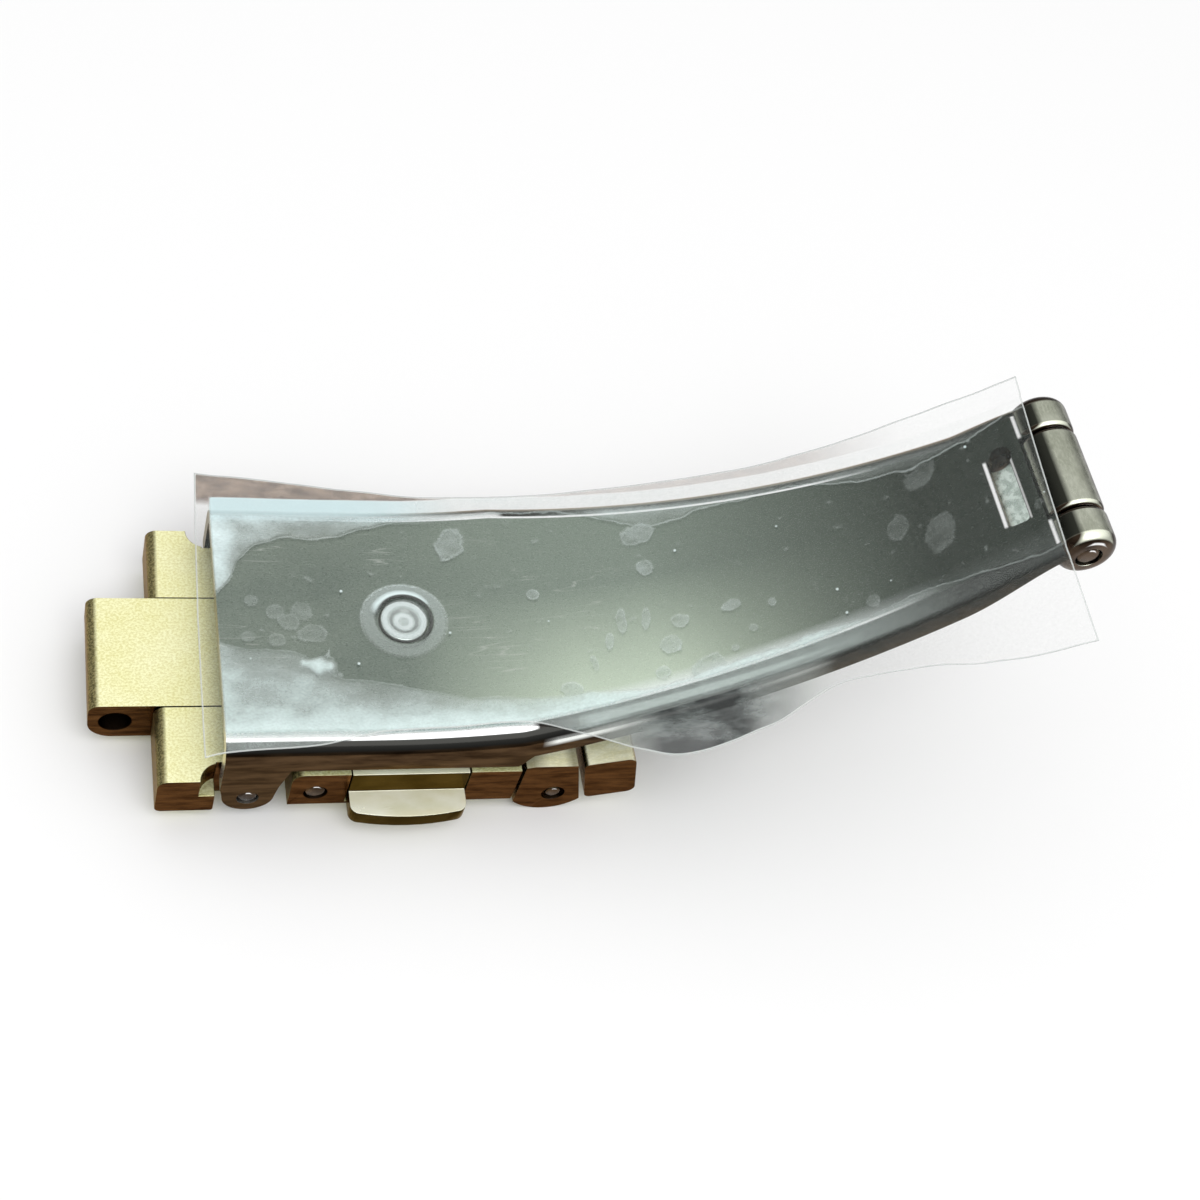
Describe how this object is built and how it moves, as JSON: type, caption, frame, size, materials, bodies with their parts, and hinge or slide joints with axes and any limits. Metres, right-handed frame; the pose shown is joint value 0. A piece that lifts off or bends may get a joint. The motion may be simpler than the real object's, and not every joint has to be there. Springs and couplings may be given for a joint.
{
  "type": "watch clasp",
  "caption": "Push-button folding clasp for a watch bracelet, folded shut, with curved blades, a gold-tone cover, hinged end links and a clear protective film.",
  "frame": {"origin": "centre of the cover block's flat outer face, right under the latch stud", "axes": "+X along the band towards the main hinge, +Y across the band away from the picture's viewer, +Z towards the wrist"},
  "size_m": [0.0515, 0.0201, 0.0218],
  "materials": {
    "steel": "lightly brushed",
    "dark_steel": "turned",
    "satin_gold": "satin top, polished sides",
    "polished_gold": "polished",
    "film": "clear, slightly wrinkled"
  },
  "bodies": {
    "inner_blade": {"inner_blade": "steel", "latch_stud": "steel", "main_hinge_pin": "dark_steel", "end_link_pin": "polished_gold", "protective_film": "film"},
    "end_link": {"end_link_centre": "satin_gold", "end_link_side_near": "satin_gold", "end_link_side_far": "satin_gold", "end_link_cross_pin": "dark_steel"},
    "middle_blade": {"middle_blade": "steel"},
    "cover": {"cover_block": "satin_gold", "cover_hinge_pin": "polished_gold", "retaining_plate": "steel", "plate_screws": "dark_steel", "latch_wires": "steel", "cover_end_piece": "satin_gold", "end_piece_dowels": "dark_steel", "near_button_springs": "steel", "far_button_springs": "steel", "last_link_pin": "polished_gold"},
    "button_near": {"button_near": "polished_gold"},
    "button_far": {"button_far": "polished_gold"},
    "last_link": {"last_link": "satin_gold"}
  },
  "joints": [
    {"name": "main_hinge", "type": "hinge", "parent": "inner_blade", "child": "middle_blade", "pos_m": [0.03349, 0, 0.01931], "axis": [0, -1, 0], "range_deg": [0, 170], "deforming": ["latch_wires"]},
    {"name": "cover_hinge", "type": "hinge", "parent": "middle_blade", "child": "cover", "pos_m": [-0.0049, 0, 0.0015], "axis": [0, 1, 0], "range_deg": [0, 88], "deforming": ["latch_wires"]},
    {"name": "end_link_hinge", "type": "hinge", "parent": "inner_blade", "child": "end_link", "pos_m": [-0.0084, 0, 0.0011], "axis": [0, 1, 0], "range_deg": [-35, 15]},
    {"name": "last_link_hinge", "type": "hinge", "parent": "cover", "child": "last_link", "pos_m": [0.0083, 0, 0.0008], "axis": [0, -1, 0], "range_deg": [-13, 5]},
    {"name": "near_button_press", "type": "slide", "parent": "cover", "child": "button_near", "axis": [0, 1, 0], "range_m": [0, 0.0008], "stiffness_N_per_m": 400, "springref_m": -0.0008, "deforming": ["near_button_springs", "latch_wires"]},
    {"name": "far_button_press", "type": "slide", "parent": "cover", "child": "button_far", "axis": [0, -1, 0], "range_m": [0, 0.0008], "stiffness_N_per_m": 400, "springref_m": -0.0008, "deforming": ["far_button_springs", "latch_wires"]}
  ]
}
